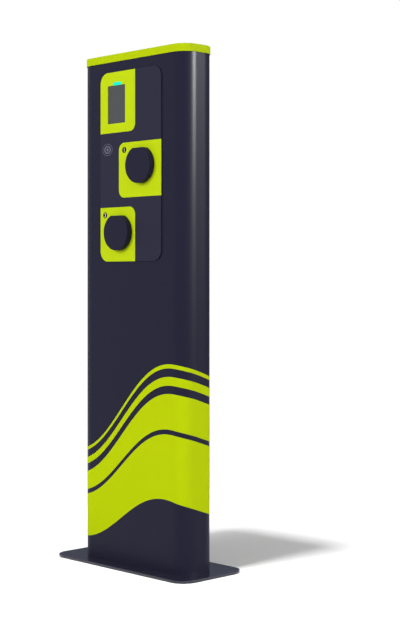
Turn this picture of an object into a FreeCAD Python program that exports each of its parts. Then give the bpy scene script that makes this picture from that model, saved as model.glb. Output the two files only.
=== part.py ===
import FreeCAD, Part
import math
import os

# Street charging post with two vehicle sockets: a painted sheet-metal pillar on a steel base plate, a fascia
# with a display and two lidded sockets at the front, and switchgear behind a hinged service door at the rear.
#
# Frame: millimetres, +Z up, the front faces -Y and +X is to the right of someone who stands before it.
# The origin is the centre of the base plate's underside.

V = FreeCAD.Vector

# ---- driving dimensions: pillar ----
POST_HEIGHT = 1601.5
BODY_WIDTH = 484.0
BODY_DEPTH = 132.0
BODY_CORNER = 48.0
WALL = 3.0
PLATE_WIDTH = 612.0
PLATE_DEPTH = 268.0
PLATE_CORNER = 52.0
PLATE_THICK = 8.0
ANCHOR_SPACING_X = 280.0
ANCHOR_SPACING_Y = 70.0
ANCHOR_HOLE_R = 9.0
DUCT_HOLE_R = 45.0
CAP_HEIGHT = 24.0
CAP_OVERHANG = 2.5
CAP_GAP = 0.3

Y_FRONT = -BODY_DEPTH / 2
Y_REAR = BODY_DEPTH / 2
Y_FRONT_IN = Y_FRONT + WALL
Y_REAR_IN = Y_REAR - WALL
CAP_TOP_THICK = 3.0
BODY_TOP = POST_HEIGHT - CAP_TOP_THICK

# ---- fascia ----
FASCIA_WIDTH = 283.0
FASCIA_BOTTOM = 949.0
FASCIA_TOP = 1544.5
FASCIA_CORNER = 34.0
FASCIA_LIP = 15.0
BACKING_THICK = 2.0
TILE_THICK = 2.0
TILE_GAP = 0.5
TILE_SPLIT_X = 23.2
DISPLAY_TILE_BOTTOM = 1353.5
DISPLAY_TILE_CORNER = 24.0
TILE_1_LEFT = -53.0
TILE_1_BOTTOM = 1148.0
TILE_1_TOP = 1319.2
TILE_1_CORNER = 24.0
TILE_2_TOP = 1119.0
TILE_2_CORNER = 26.0
X_FASCIA = FASCIA_WIDTH / 2
Y_BACKING = Y_FRONT - BACKING_THICK
Y_TILE = Y_BACKING - TILE_THICK

SCREEN_X = -65.0
SCREEN_Z = 1442.5
SCREEN_WIDTH = 82.5
SCREEN_HEIGHT = 120.0
PANE_MARGIN = 4.0
PANE_GAP = 0.3
LIGHT_X = -61.0
LIGHT_Z = 1507.5
LIGHT_WIDTH = 40.0
LIGHT_HEIGHT = 9.6
LIGHT_PROUD = 0.6
READER_X = -103.0
READER_Z = 1301.0
READER_WIDTH = 46.0
READER_HEIGHT = 50.0

# ---- sockets: (x, z) of each lid's centre ----
SOCKETS = {1: (55.0, 1245.5), 2: (-47.5, 1040.0)}
LID_R = 57.0
LID_FLAT = 52.0
LID_PROUD = 20.0
LID_WALL = 3.0
LID_GAP = 0.5
COLLAR_R = 46.0
COLLAR_FLAT = 36.0
COLLAR_WALL = 3.0
COLLAR_PROUD = 12.0
COLLAR_RECESS = 10.0
HOLE_GAP = 0.5
WELL_R = 28.5
WELL_FLAT = 24.0
WELL_BOTTOM = -37.0
BOSS_R = 24.5
BOSS_FLAT = 17.5
BOSS_FACE = -70.0
SOCKET_FLANGE = 50.0
SOCKET_FLANGE_THICK = 4.0
HOUSING_R = 38.0
HOUSING_END = -30.0
TERMINAL_BOX = 30.0
TERMINAL_BOX_END = 0.0
CARRIER_R = 30.0
CONTACT_CIRCLE_R = 15.5
POWER_R = 4.2
PILOT_R = 2.7
HINGE_Y = Y_TILE - 3.2
KNUCKLE_R = 3.0
HINGE_DZ = LID_FLAT - KNUCKLE_R
LUG_X = (16.4, 22.4)
LID_KNUCKLE_X = (7.0, 16.1)
LID_PIN_R = 1.5
RUNNING_GAP = 0.05
SEAL_GAP = 0.3
SPRING_WIRE_R = 0.5
LID_SPRING_R = 2.7
LOCK_PIN_R = 3.0
LOCK_PIN_Y = -54.0
LOCK_PIN_TIP = 24.5
LOCK_BLOCK_TOP = 42.0
GLAND_Y = -14.0
GLAND_R = 11.0
GLAND_LENGTH = 18.0

# ---- service door ----
DOOR_OPENING_WIDTH = 340.0
DOOR_OPENING_BOTTOM = 90.0
DOOR_OPENING_TOP = 1490.0
DOOR_GAP = 3.0
DOOR_THICK = 2.0
DOOR_RETURN = 10.0
DOOR_CORNER = 10.0
DOOR_HINGE_X = DOOR_OPENING_WIDTH / 2 - DOOR_GAP / 2
DOOR_HINGE_Y = Y_REAR + 5.5
DOOR_HINGE_ZS = (250.0, 790.0, 1330.0)
DOOR_KNUCKLE_R = 5.0
DOOR_PIN_R = 2.5
DOOR_LOCK_X = -145.0
DOOR_LOCK_ZS = {"lower": 470.0, "upper": 1110.0}
DOOR_LOCK_R = 11.0
VENT_ZS = (160.0, 1400.0)
VENT_ROWS = 6
VENT_PITCH = 13.0
VENT_WIDTH = 160.0
VENT_SLOT = 5.0

# ---- chassis and switchgear ----
UPRIGHT_X = (164.0, 194.0)
UPRIGHT_DEPTH = 25.0
UPRIGHT_WALL = 2.0
Y_UPRIGHT = Y_FRONT_IN + UPRIGHT_DEPTH
MOUNTING_PLATE_THICK = 2.0
MOUNTING_PLATE_Z = (150.0, 910.0)
Y_PLATE = Y_UPRIGHT + MOUNTING_PLATE_THICK
RAIL_DEPTH = 7.5
Y_RAIL = Y_PLATE + RAIL_DEPTH
RAIL_HALF_LENGTH = 180.0
RAIL_ZS = {"terminals": 235.0, "breakers": 400.0, "metering": 575.0, "supply": 750.0}
DEVICE_HALF_HEIGHT = 42.5
NOSE_HALF_HEIGHT = 22.5
SHOULDER_DEPTH = 44.0
DEVICE_DEPTH = 60.0
BREAKERS = {"main_switch": (-165.0, -93.0), "rcbo_1": (-60.0, 12.0), "rcbo_2": (24.0, 96.0)}
LEVER_HUB_R = 7.0
LEVER_LENGTH = 17.0
LEVER_HALF_WIDTH = 15.0
LEVER_Y = Y_RAIL + DEVICE_DEPTH - 6.0
LEVER_PIN_R = 1.5
LEVER_ANGLE = 35.0
TEST_BUTTON_R = 3.5
TEST_BUTTON_TRAVEL = 2.0
CONTACTOR_XS = (0.0, 60.0)
METER_XS = (-142.0, -68.0)
CABLE_R = 7.0
FOOT_HEIGHT = 82.0
FOOT_THICK = 6.0
BOLT_R = 4.0
BOLT_GAP = 0.2
BOLT_HEAD_R = 7.5


# ---- shapes ----
def box(x0, x1, y0, y1, z0, z1):
    return Part.makeBox(x1 - x0, y1 - y0, z1 - z0, V(x0, y0, z0))


def rod_x(y, z, r, x0, x1):
    return Part.makeCylinder(r, x1 - x0, V(x0, y, z), V(1, 0, 0))


def rod_y(x, z, r, y0, y1):
    return Part.makeCylinder(r, y1 - y0, V(x, y0, z), V(0, 1, 0))


def rod_z(x, y, r, z0, z1):
    return Part.makeCylinder(r, z1 - z0, V(x, y, z0), V(0, 0, 1))


def rounded_wire(a0, a1, b0, b1, radii, place):
    """Rectangle a0..a1 by b0..b1 with a radius at each corner, from low-low round to low-high.

    place(a, b) gives the point in space.
    """
    corners = [(a0, b0, 1, 1), (a1, b0, -1, 1), (a1, b1, -1, -1), (a0, b1, 1, -1)]
    edges, points = [], []
    for k, ((a, b, sa, sb), r) in enumerate(zip(corners, radii)):
        across, along = (a + sa * r, b), (a, b + sb * r)
        first, last = (along, across) if k % 2 == 0 else (across, along)
        mid = (a + sa * r * (1 - math.sqrt(0.5)), b + sb * r * (1 - math.sqrt(0.5)))
        if r > 0:
            edges.append(Part.Arc(place(*first), place(*mid), place(*last)).toShape())
        points.append((first, last))
    for k in range(4):
        start, end = place(*points[k][1]), place(*points[(k + 1) % 4][0])
        if start.distanceToPoint(end) > 1e-6:
            edges.append(Part.makeLine(start, end))
    return Part.Wire(Part.__sortEdges__(edges))


def prism_z(width, depth, r, z0, z1):
    """Upright prism on a rounded rectangle about the origin."""
    wire = rounded_wire(-width / 2, width / 2, -depth / 2, depth / 2, [r] * 4, lambda a, b: V(a, b, z0))
    return Part.Face(wire).extrude(V(0, 0, z1 - z0))


def prism_y(x0, x1, z0, z1, radii, y0, y1):
    """Plate facing the front: radii run lower left, lower right, upper right, upper left."""
    if not isinstance(radii, (list, tuple)):
        radii = [radii] * 4
    wire = rounded_wire(x0, x1, z0, z1, radii, lambda a, b: V(a, y0, b))
    return Part.Face(wire).extrude(V(0, y1 - y0, 0))


def profile_x(points, x0, x1):
    """Polygon of (y, z) points carried along X."""
    ring = [V(x0, y, z) for y, z in points]
    return Part.Face(Part.makePolygon(ring + ring[:1])).extrude(V(x1 - x0, 0, 0))


def flat_disc(x, z, r, flat, y0, y1):
    """Disc facing the front whose top is cut level, flat above its centre."""
    return rod_y(x, z, r, y0, y1).cut(box(x - r, x + r, y0, y1, z + flat, z + r + 1))


def fuse(first, *others):
    return first.multiFuse(list(others)).removeSplitter()


def cut(first, *others):
    return first.cut(list(others)) if others else first


def rounded_edges(shape, radius, wanted):
    edges = [e for e in shape.Edges if wanted(e)]
    return shape.makeFillet(radius, edges) if edges else shape


def edges_at_y(y):
    return lambda e: all(abs(v.Point.y - y) < 1e-4 for v in e.Vertexes) and abs(e.BoundBox.YLength) < 1e-3


def edges_at_z(z):
    return lambda e: all(abs(v.Point.z - z) < 1e-4 for v in e.Vertexes) and abs(e.BoundBox.ZLength) < 1e-3


def hexagon_y(x, z, r, y0, y1):
    turns = [math.radians(60 * k) for k in range(6)]
    ring = [V(x + r * math.cos(a), y0, z + r * math.sin(a)) for a in turns]
    return Part.Face(Part.makePolygon(ring + ring[:1])).extrude(V(0, y1 - y0, 0))


def write(name, *solids):
    for s in solids:
        if not s.isValid() or s.Volume <= 0:
            raise ValueError(f"{name} has a bad solid")
    shape = solids[0] if len(solids) == 1 else Part.makeCompound(list(solids))
    shape.exportStep(f"parts/{name}.step")


# ---- base and pillar ----
def anchor_points():
    return [(sx * ANCHOR_SPACING_X / 2, sy * ANCHOR_SPACING_Y / 2) for sx in (-1, 1) for sy in (-1, 1)]


def make_base_plate():
    plate = prism_z(PLATE_WIDTH, PLATE_DEPTH, PLATE_CORNER, 0, PLATE_THICK)
    plate = plate.makeChamfer(0.8, [e for e in plate.Edges if edges_at_z(PLATE_THICK)(e)])
    holes = [rod_z(x, y, ANCHOR_HOLE_R, -1, PLATE_THICK + 1) for x, y in anchor_points()]
    write("base_plate", cut(plate, rod_z(0, 0, DUCT_HOLE_R, -1, PLATE_THICK + 1), *holes))


def fascia_stud_points():
    x = X_FASCIA - FASCIA_LIP / 2
    return [(sx * x, z) for sx in (-1, 1) for z in (1010.0, 1170.0, 1330.0, 1490.0)]


def body_prism(margin, z0, z1):
    """Upright prism on the pillar's plan, grown by a margin all round."""
    return prism_z(BODY_WIDTH + 2 * margin, BODY_DEPTH + 2 * margin, BODY_CORNER + margin, z0, z1)


def make_post_shell():
    outer = body_prism(0, PLATE_THICK, BODY_TOP)
    inner = body_prism(-WALL, 0, POST_HEIGHT)
    half = X_FASCIA - FASCIA_LIP
    z0, z1 = FASCIA_BOTTOM + FASCIA_LIP, FASCIA_TOP - FASCIA_LIP
    aperture = prism_y(-half, half, z0, z1, FASCIA_CORNER - FASCIA_LIP, Y_FRONT - 1, Y_FRONT_IN + 1)
    half = DOOR_OPENING_WIDTH / 2
    z0, z1 = DOOR_OPENING_BOTTOM, DOOR_OPENING_TOP
    doorway = prism_y(-half, half, z0, z1, DOOR_CORNER, Y_REAR_IN - 1, Y_REAR + 1)
    studs = [rod_y(x, z, 2.75, Y_FRONT - 1, Y_FRONT_IN + 1) for x, z in fascia_stud_points()]
    write("post_shell", cut(outer, inner, aperture, doorway, *studs))


def make_top_cap():
    z0 = POST_HEIGHT - CAP_HEIGHT
    cap = body_prism(CAP_OVERHANG, z0, POST_HEIGHT)
    cap = rounded_edges(cap, 1.5, edges_at_z(POST_HEIGHT))
    write("top_cap", cut(cap, body_prism(CAP_GAP, z0 - 1, BODY_TOP)))


def make_antenna():
    puck = rounded_edges(rod_z(0, 0, 32.0, BODY_TOP - 18.0, BODY_TOP), 4.0, edges_at_z(BODY_TOP - 18.0))
    write("antenna", puck)


def make_uprights():
    tubes = []
    for side in (-1, 1):
        x0, x1 = sorted((side * UPRIGHT_X[0], side * UPRIGHT_X[1]))
        tube = box(x0, x1, Y_FRONT_IN, Y_UPRIGHT, PLATE_THICK, BODY_TOP)
        t = UPRIGHT_WALL
        bore = box(x0 + t, x1 - t, Y_FRONT_IN + t, Y_UPRIGHT - t, 0, POST_HEIGHT)
        tubes.append(cut(tube, bore, *foot_bolt_holes(side, Y_UPRIGHT - t - 1, Y_UPRIGHT + 1)))
    write("uprights", *tubes)


def foot_bolt_points(side):
    x = side * sum(UPRIGHT_X) / 2
    return [(x, 40.0), (x, 70.0)]


def foot_bolt_holes(side, y0, y1):
    return [rod_y(x, z, BOLT_R + BOLT_GAP, y0, y1) for x, z in foot_bolt_points(side)]


def make_feet():
    feet, bolts = [], []
    for side in (-1, 1):
        x0, x1 = sorted((side * UPRIGHT_X[0], side * UPRIGHT_X[1]))
        y0, z0, middle = Y_UPRIGHT, PLATE_THICK, (x0 + x1) / 2
        foot = fuse(
            box(x0, x1, y0, y0 + 42.0, z0, z0 + FOOT_THICK),
            box(x0, x1, y0, y0 + FOOT_THICK, z0, z0 + FOOT_HEIGHT),
            profile_x([(y0, z0), (y0 + 36.0, z0), (y0, z0 + 26.0)], middle - 2.5, middle + 2.5),
        )
        feet.append(cut(foot, *foot_bolt_holes(side, y0 - 1, y0 + FOOT_THICK + 1)))
        for x, z in foot_bolt_points(side):
            head = hexagon_y(x, z, BOLT_HEAD_R, Y_UPRIGHT + FOOT_THICK, Y_UPRIGHT + FOOT_THICK + 5.3)
            shank = rod_y(x, z, BOLT_R, Y_UPRIGHT - 14.0, Y_UPRIGHT + FOOT_THICK)
            bolts.append(fuse(head, shank))
    write("foot_brackets", *feet)
    write("foot_bolts", *bolts)


# ---- fascia ----
def make_fascia_plate():
    plate = prism_y(-X_FASCIA, X_FASCIA, FASCIA_BOTTOM, FASCIA_TOP, FASCIA_CORNER, Y_BACKING, Y_FRONT)
    y0, y1 = Y_BACKING - 1, Y_FRONT + 1
    holes = [
        flat_disc(x, z, COLLAR_R + HOLE_GAP, COLLAR_FLAT + HOLE_GAP, y0, y1) for x, z in SOCKETS.values()
    ]
    holes.append(window(PANE_MARGIN + PANE_GAP, y0, y1))
    holes.append(light_slot(0.3, y0, y1))
    w, h = READER_WIDTH / 2 + 0.5, READER_HEIGHT / 2 + 0.5
    holes.append(prism_y(READER_X - w, READER_X + w, READER_Z - h, READER_Z + h, 4.0, y0, y1))
    write("fascia_plate", cut(plate, *holes))


def window(margin, y0, y1):
    w, h = SCREEN_WIDTH / 2 + margin, SCREEN_HEIGHT / 2 + margin
    return prism_y(SCREEN_X - w, SCREEN_X + w, SCREEN_Z - h, SCREEN_Z + h, 1.5, y0, y1)


def light_slot(margin, y0, y1):
    w, h = LIGHT_WIDTH / 2 + margin, LIGHT_HEIGHT / 2 + margin
    return prism_y(LIGHT_X - w, LIGHT_X + w, LIGHT_Z - h, LIGHT_Z + h, h - 0.01, y0, y1)


def make_fascia_studs():
    studs = []
    for x, z in fascia_stud_points():
        stud = rod_y(x, z, 2.5, Y_FRONT, Y_FRONT_IN + 12.0)
        studs.append(fuse(stud, hexagon_y(x, z, 4.6, Y_FRONT_IN, Y_FRONT_IN + 4.0)))
    write("fascia_studs", *studs)


def display_tile_outline(gap, y0, y1):
    radii = [0, DISPLAY_TILE_CORNER, 0, FASCIA_CORNER]
    return prism_y(-X_FASCIA, TILE_SPLIT_X + gap, DISPLAY_TILE_BOTTOM - gap, FASCIA_TOP, radii, y0, y1)


def socket_tile_outline(number, gap, y0, y1):
    if number == 1:
        radii = [TILE_1_CORNER, 0, 0, TILE_1_CORNER]
        return prism_y(TILE_1_LEFT - gap, X_FASCIA, TILE_1_BOTTOM - gap, TILE_1_TOP + gap, radii, y0, y1)
    radii = [FASCIA_CORNER, 0, TILE_2_CORNER, 0]
    return prism_y(-X_FASCIA, TILE_SPLIT_X + gap, FASCIA_BOTTOM, TILE_2_TOP + gap, radii, y0, y1)


def eased(plate):
    """A plate of the fascia with its front rim eased."""
    return rounded_edges(plate, 0.4, edges_at_y(Y_TILE))


def make_fascia_cover():
    cover = eased(prism_y(-X_FASCIA, X_FASCIA, FASCIA_BOTTOM, FASCIA_TOP, FASCIA_CORNER, Y_TILE, Y_BACKING))
    y0, y1 = Y_TILE - 1, Y_BACKING + 1
    tiles = [display_tile_outline(TILE_GAP, y0, y1)]
    tiles += [socket_tile_outline(n, TILE_GAP, y0, y1) for n in SOCKETS]
    write("fascia_cover", cut(cover, *tiles))


def make_display_tile():
    tile = eased(display_tile_outline(0, Y_TILE, Y_BACKING))
    y0, y1 = Y_TILE - 1, Y_BACKING + 1
    write("display_tile", cut(tile, window(0, y0, y1), light_slot(0.2, y0, y1)))


def make_display():
    pane = window(PANE_MARGIN, Y_BACKING, Y_FRONT)
    write("display_window", cut(pane, light_slot(0.3, Y_BACKING - 1, Y_FRONT + 1)))
    x, z, y0 = SCREEN_X, SCREEN_Z, Y_FRONT
    w, h = SCREEN_WIDTH / 2 + 10, SCREEN_HEIGHT / 2 + 4
    module = box(x - w, x + w, y0, y0 + 14, z - h - 8, z + h - 4)
    board = box(x - w + 6, x + w - 6, y0 + 14, y0 + 18, z - h, z + h - 12)
    write("display_module", fuse(module, board))
    lens = light_slot(0, Y_TILE - LIGHT_PROUD, Y_FRONT)
    carrier = box(LIGHT_X - 28, LIGHT_X + 28, Y_FRONT, Y_FRONT + 6, LIGHT_Z - 5.0, LIGHT_Z + 9)
    write("status_light", fuse(rounded_edges(lens, 0.4, edges_at_y(Y_TILE - LIGHT_PROUD)), carrier))


def make_card_reader():
    w, h = READER_WIDTH / 2, READER_HEIGHT / 2
    body = prism_y(READER_X - w, READER_X + w, READER_Z - h, READER_Z + h, 4.0, Y_BACKING, Y_FRONT + 10)
    ears = box(READER_X - 16, READER_X + 16, Y_FRONT, Y_FRONT + 3, READER_Z - h - 9, READER_Z + h + 9)
    write("card_reader", fuse(body, ears))


def make_controller_box():
    x0, x1, z0, z1 = SCREEN_X - 62, SCREEN_X + 62, 1372.0, 1496.0
    case = box(x0, x1, -40.0, 2.0, z0, z1)
    posts = [rod_y(x, z, 4.0, Y_FRONT, -40.0) for x in (x0 + 5, x1 - 5) for z in (z0 + 6, z1 - 6)]
    port_xs = [SCREEN_X - 46 + 24 * k for k in range(4)]
    ports = [box(x, x + 14, -26.0, -12.0, z0 - 1, z0 + 6) for x in port_xs]
    write("controller_box", cut(fuse(case, *posts), *ports))


# ---- sockets and lids ----
def contact_points(x, z):
    """Centres and radii of the seven contacts: one in the middle and six round it, the top two small."""
    points = [(x, z, POWER_R)]
    for k in range(6):
        a = math.radians(60 * k)
        r = PILOT_R if k in (1, 2) else POWER_R
        points.append((x + CONTACT_CIRCLE_R * math.cos(a), z + CONTACT_CIRCLE_R * math.sin(a), r))
    return points


def make_socket_tile(number):
    x, z = SOCKETS[number]
    tile = eased(socket_tile_outline(number, 0, Y_TILE, Y_BACKING))
    tile = cut(tile, flat_disc(x, z, COLLAR_R + HOLE_GAP, COLLAR_FLAT + HOLE_GAP, Y_TILE - 1, Y_BACKING + 1))
    lugs = []
    for side in (-1, 1):
        x0, x1 = sorted((x + side * LUG_X[0], x + side * LUG_X[1]))
        lug = fuse(
            rod_x(HINGE_Y, z + HINGE_DZ, KNUCKLE_R, x0, x1),
            box(x0, x1, HINGE_Y, Y_TILE + 1, z + HINGE_DZ - KNUCKLE_R, z + HINGE_DZ + KNUCKLE_R),
        )
        lugs.append(cut(lug, rod_x(HINGE_Y, z + HINGE_DZ, LID_PIN_R + RUNNING_GAP, x0 - 1, x1 + 1)))
    write(f"socket_tile_{number}", fuse(tile, *lugs))


def make_socket_housing(number):
    """A flange behind the fascia, a barrel with the plug's well, and a block that guides the lock pin."""
    x, z = SOCKETS[number]
    y_flange = Y_FRONT + SOCKET_FLANGE_THICK
    y_floor = Y_TILE - COLLAR_PROUD + COLLAR_RECESS
    f = SOCKET_FLANGE
    well = flat_disc(x, z, WELL_R, WELL_FLAT, y_floor - 1, WELL_BOTTOM)
    seat = rod_y(x, z, CARRIER_R, WELL_BOTTOM, HOUSING_END + 1)
    pin_bore = rod_z(x, LOCK_PIN_Y, LOCK_PIN_R + RUNNING_GAP, z + WELL_FLAT - 4, z + LOCK_BLOCK_TOP + 1)
    flange = fuse(
        prism_y(x - f, x + f, z - f, z + f, 8.0, Y_FRONT, y_flange),
        flat_disc(x, z, COLLAR_R, COLLAR_FLAT, y_floor, y_flange),
    )
    barrel = rod_y(x, z, HOUSING_R, y_flange, HOUSING_END)
    block = box(x - 16, x + 16, y_flange, y_flange + 22, z + WELL_FLAT, z + LOCK_BLOCK_TOP)
    write(
        f"socket_housing_{number}",
        cut(flange, well),
        cut(barrel, well, seat, pin_bore),
        cut(block, barrel, pin_bore),
    )


def make_socket_body(number):
    """The collar in front of the housing, the contact carrier seated in it and the terminal box behind."""
    x, z = SOCKETS[number]
    y_rim = Y_TILE - COLLAR_PROUD
    y_floor = y_rim + COLLAR_RECESS
    t, w = TERMINAL_BOX, COLLAR_WALL
    collar = cut(
        flat_disc(x, z, COLLAR_R, COLLAR_FLAT, y_rim, y_floor),
        flat_disc(x, z, COLLAR_R - w, COLLAR_FLAT - w, y_rim - 1, y_floor + 1),
    )
    carrier = fuse(
        flat_disc(x, z, BOSS_R, BOSS_FLAT, BOSS_FACE, HOUSING_END),
        rod_y(x, z, CARRIER_R, WELL_BOTTOM, HOUSING_END),
    )
    bores = [rod_y(cx, cz, r, BOSS_FACE - 1, WELL_BOTTOM + 5) for cx, cz, r in contact_points(x, z)]
    terminal_box = fuse(
        box(x - t, x + t, HOUSING_END, TERMINAL_BOX_END, z - t, z + t),
        rod_z(x, GLAND_Y, GLAND_R, z - t - GLAND_LENGTH, z - t + 1),
    )
    terminal_box = cut(terminal_box, rod_z(x, GLAND_Y, CABLE_R, z - t - GLAND_LENGTH - 1, z - t - 2))
    write(f"socket_body_{number}", collar, cut(carrier, *bores), terminal_box)


def make_socket_contacts():
    tubes = []
    y0, y1 = BOSS_FACE + 4, WELL_BOTTOM + 5
    for x, z in SOCKETS.values():
        for cx, cz, r in contact_points(x, z):
            tubes.append(cut(rod_y(cx, cz, r, y0, y1), rod_y(cx, cz, r - 1.1, y0 - 1, y1 - 4)))
    write("socket_contacts", *tubes)


def make_lid(number):
    x, z = SOCKETS[number]
    y_face, y_back = Y_TILE - LID_PROUD, Y_TILE - LID_GAP
    hz = z + HINGE_DZ
    shell = rounded_edges(flat_disc(x, z, LID_R, LID_FLAT, y_face, y_back), 2.0, edges_at_y(y_face))
    shell = cut(shell, flat_disc(x, z, LID_R - LID_WALL, LID_FLAT - LID_WALL, y_face + LID_WALL, y_back + 1))
    corner = box(x - LID_R, x + LID_R, HINGE_Y, y_back + 1, hz, hz + 10)
    shell = cut(shell, cut(corner, rod_x(HINGE_Y, hz, KNUCKLE_R, x - LID_R, x + LID_R)))
    clear, (inner, outer), end = KNUCKLE_R + 1.6, LID_KNUCKLE_X, LUG_X[1]
    shell = cut(
        shell,
        rod_x(HINGE_Y, hz, clear, x - end - 0.3, x - outer),
        rod_x(HINGE_Y, hz, clear, x + outer, x + end + 0.3),
        rod_x(HINGE_Y, hz, clear, x - inner, x + inner),
    )
    knuckles = [rod_x(HINGE_Y, hz, KNUCKLE_R, x + a, x + b) for a, b in ((-outer, -inner), (inner, outer))]
    lid = cut(fuse(shell, *knuckles), rod_x(HINGE_Y, hz, LID_PIN_R, x - outer - 1, x + outer + 1))
    write(f"lid_{number}", lid)
    write(f"lid_pin_{number}", rod_x(HINGE_Y, hz, LID_PIN_R, x - end, x + end))
    y0, y1 = y_face + LID_WALL, Y_TILE - COLLAR_PROUD - SEAL_GAP
    r, f, w = COLLAR_R - 0.5, COLLAR_FLAT - 0.5, 5.0
    seal = cut(flat_disc(x, z, r, f, y0, y1), flat_disc(x, z, r - w, f - w, y0 - 1, y1 + 1))
    write(f"lid_seal_{number}", seal)


def make_lid_spring(number):
    """Torsion spring round the lid's pin: a coil and a leg that lies flat on the tile."""
    x, z = SOCKETS[number]
    coil_r, length = LID_SPRING_R, 11.0
    helix = Part.makeHelix(length / 8, length, coil_r)
    section = Part.Wire(Part.makeCircle(SPRING_WIRE_R, V(coil_r, 0, 0), V(0, 1, 0)))
    coil = Part.Wire(helix.Edges).makePipeShell([section], True, True)
    coil.rotate(V(0, 0, 0), V(0, 0, 1), 90)
    coil.rotate(V(0, 0, 0), V(0, 1, 0), 90)
    coil.translate(V(x - length / 2, HINGE_Y, z + HINGE_DZ))
    leg = rod_z(x - length / 2, HINGE_Y + coil_r, SPRING_WIRE_R, z + HINGE_DZ - 5, z + HINGE_DZ)
    write(f"lid_spring_{number}", fuse(coil, leg))


def make_plug_lock(number):
    x, z = SOCKETS[number]
    y0 = Y_FRONT + SOCKET_FLANGE_THICK
    z0 = z + LOCK_BLOCK_TOP
    motor = box(x - 12, x + 12, y0 + 28, y0 + 38, z0 + 4, z0 + 26)
    case = fuse(box(x - 18, x + 18, y0, y0 + 28, z0, z0 + 30), motor)
    guide = rod_z(x, LOCK_PIN_Y, LOCK_PIN_R + RUNNING_GAP, z0 - 1, z0 + 20)
    write(f"lock_actuator_{number}", cut(case, guide))
    pin = rod_z(x, LOCK_PIN_Y, LOCK_PIN_R, z + LOCK_PIN_TIP, z0 + 14)
    write(f"lock_pin_{number}", rounded_edges(pin, 1.0, edges_at_z(z + LOCK_PIN_TIP)))


def routed_tube(points, r):
    """Straight runs joined by tangent arcs, each 0.45 of the shorter of its two runs from the corner."""
    points = [V(*p) for p in points]
    edges, last = [], points[0]
    for before, corner, after in zip(points, points[1:], points[2:]):
        back, ahead = (before - corner), (after - corner)
        reach = 0.45 * min(back.Length, ahead.Length)
        back.normalize()
        ahead.normalize()
        start, end = corner + back * reach, corner + ahead * reach
        half = back.getAngle(ahead) / 2
        radius = reach * math.tan(half)
        middle = back + ahead
        middle.normalize()
        centre = corner + middle * (radius / math.sin(half))
        edges += [Part.makeLine(last, start), Part.Arc(start, centre - middle * radius, end).toShape()]
        last = end
    edges.append(Part.makeLine(last, points[-1]))
    path = Part.Wire(edges)
    ring = Part.Wire(Part.makeCircle(r, points[0], points[1] - points[0]))
    return path.makePipeShell([ring], True, False), path.Length


def make_socket_cables():
    cables = []
    top_of_contactor = RAIL_ZS["metering"] + DEVICE_HALF_HEIGHT
    for number, target in zip(SOCKETS, reversed(CONTACTOR_XS)):
        x, z = SOCKETS[number]
        start = z - TERMINAL_BOX - 2
        route = [
            (x, GLAND_Y, start),
            (x, GLAND_Y, start - 110),
            (target, GLAND_Y, start - 230),
            (target, GLAND_Y, top_of_contactor),
        ]
        tube, length = routed_tube(route, CABLE_R)
        share = tube.Volume / (math.pi * CABLE_R ** 2 * length)
        print(f"socket cable {number}: {length:.0f} mm, volume over section times length {share:.4f}")
        cables.append(tube)
    write("socket_cables", *cables)


# ---- service door ----
def ring_y(half, z0, z1, r, width, y0, y1):
    """Rectangular ring facing the rear, width wide, measured inwards from its outer edge."""
    outer = prism_y(-half, half, z0, z1, r, y0, y1)
    inner = prism_y(-half + width, half - width, z0 + width, z1 - width, max(r - width, 1.0), y0 - 1, y1 + 1)
    return cut(outer, inner)


def make_door_frame():
    half, z0, z1 = DOOR_OPENING_WIDTH / 2 + 15, DOOR_OPENING_BOTTOM - 15, DOOR_OPENING_TOP + 15
    face = ring_y(half, z0, z1, 16.0, 27.0, Y_REAR_IN - 15, Y_REAR_IN - 13)
    wall = ring_y(half, z0, z1, 16.0, 2.0, Y_REAR_IN - 13, Y_REAR_IN)
    write("door_frame", fuse(face, wall))
    half = DOOR_OPENING_WIDTH / 2 - DOOR_GAP
    z0, z1 = DOOR_OPENING_BOTTOM + DOOR_GAP, DOOR_OPENING_TOP - DOOR_GAP
    y_returns = Y_REAR - DOOR_THICK - DOOR_RETURN
    write("door_gasket", ring_y(half + 1, z0 - 1, z1 + 1, 8.0, 8.0, Y_REAR_IN - 13, y_returns - SEAL_GAP))


def make_rear_door():
    half = DOOR_OPENING_WIDTH / 2 - DOOR_GAP
    z0, z1 = DOOR_OPENING_BOTTOM + DOOR_GAP, DOOR_OPENING_TOP - DOOR_GAP
    r = DOOR_CORNER - DOOR_GAP
    y_in = Y_REAR - DOOR_THICK
    panel = rounded_edges(prism_y(-half, half, z0, z1, r, y_in, Y_REAR), 0.8, edges_at_y(Y_REAR))
    door = fuse(panel, ring_y(half, z0, z1, r, 2.0, y_in - DOOR_RETURN, y_in))
    lock_r = DOOR_LOCK_R + RUNNING_GAP
    cuts = [rod_y(DOOR_LOCK_X, z, lock_r, y_in - 1, Y_REAR + 1) for z in DOOR_LOCK_ZS.values()]
    w, h = VENT_WIDTH / 2, VENT_SLOT / 2
    for z in VENT_ZS:
        for k in range(VENT_ROWS):
            zk = z + (k - (VENT_ROWS - 1) / 2) * VENT_PITCH
            cuts.append(prism_y(-w, w, zk - h, zk + h, h - 0.01, y_in - 1, Y_REAR + 1))
    write("rear_door", cut(door, *cuts))
    tall = VENT_ROWS * VENT_PITCH / 2 + 6
    write("vent_filters", *[box(-w - 10, w + 10, y_in - 6, y_in, z - tall, z + tall) for z in VENT_ZS])


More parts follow.
